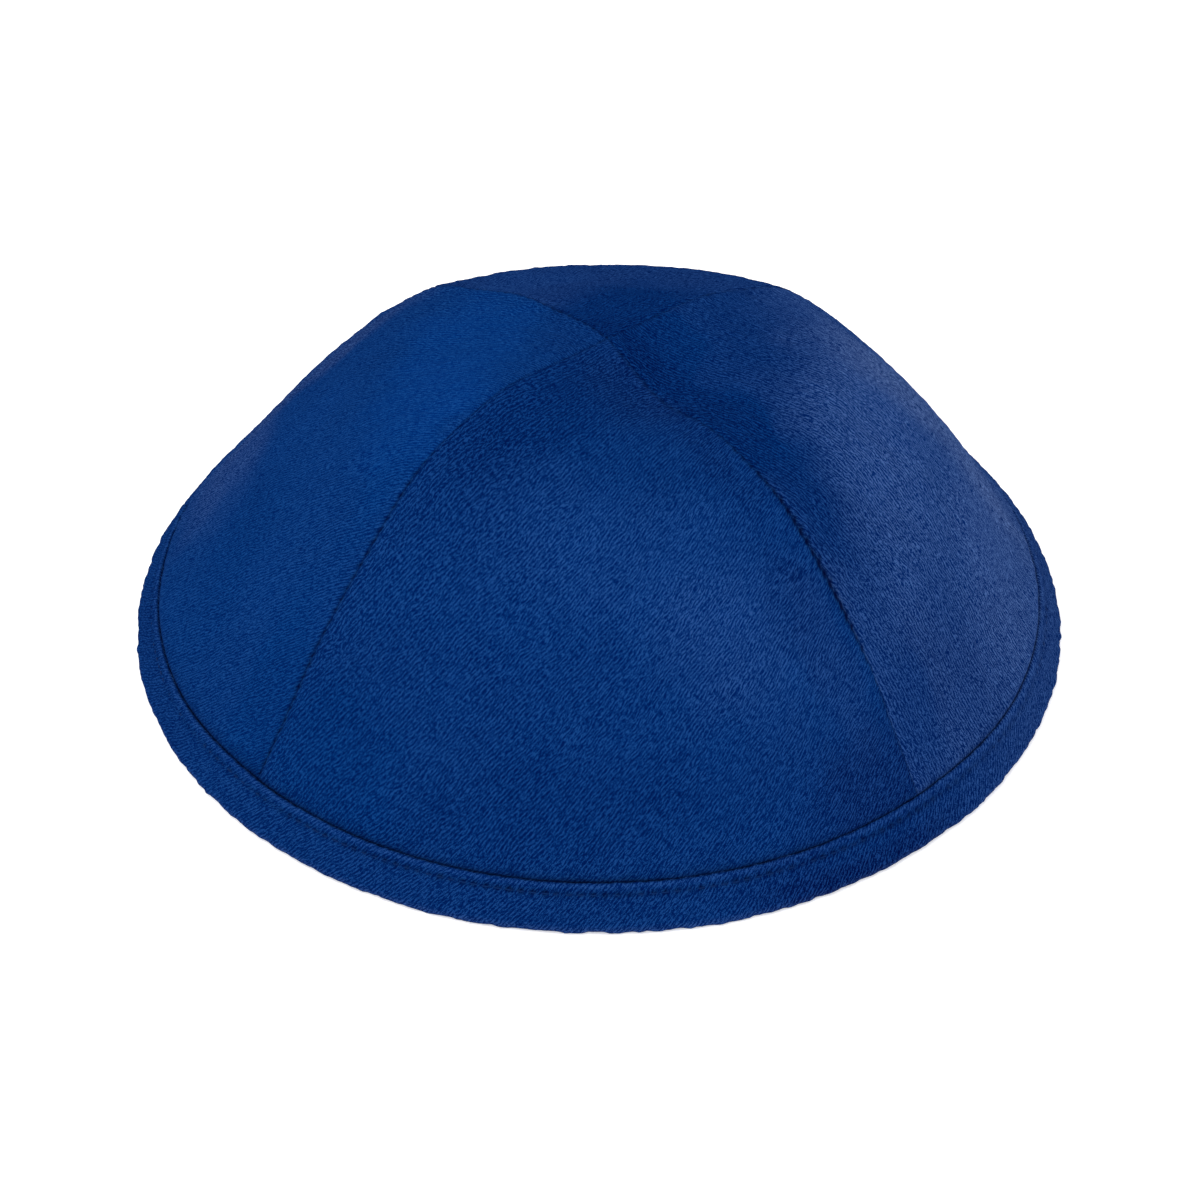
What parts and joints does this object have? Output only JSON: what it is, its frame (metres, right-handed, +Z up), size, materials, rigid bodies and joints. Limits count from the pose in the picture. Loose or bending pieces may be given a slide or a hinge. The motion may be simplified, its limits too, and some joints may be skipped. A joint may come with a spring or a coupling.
{
  "type": "kippah skullcap",
  "caption": "Domed velour skullcap sewn from tapering gores that meet at the top, with a folded and topstitched band around its open rim.",
  "frame": {"origin": "centre of the rim, on the plane that the cap rests on", "axes": "+Z up through the top of the cap; -Y is the front, the middle of the gore that faces the viewer; +X is the viewer's right"},
  "size_m": [0.19, 0.19, 0.0726],
  "materials": {
    "velour_panels": "deep royal blue velour, short brushed pile with a soft marbled nap",
    "velour_band": "the same royal blue velour, folded over the rim and topstitched tone on tone"
  },
  "bodies": {
    "root": {"panel_front": "velour_panels", "panel_right": "velour_panels", "panel_back": "velour_panels", "panel_left": "velour_panels", "rim_band": "velour_band"}
  },
  "joints": []
}
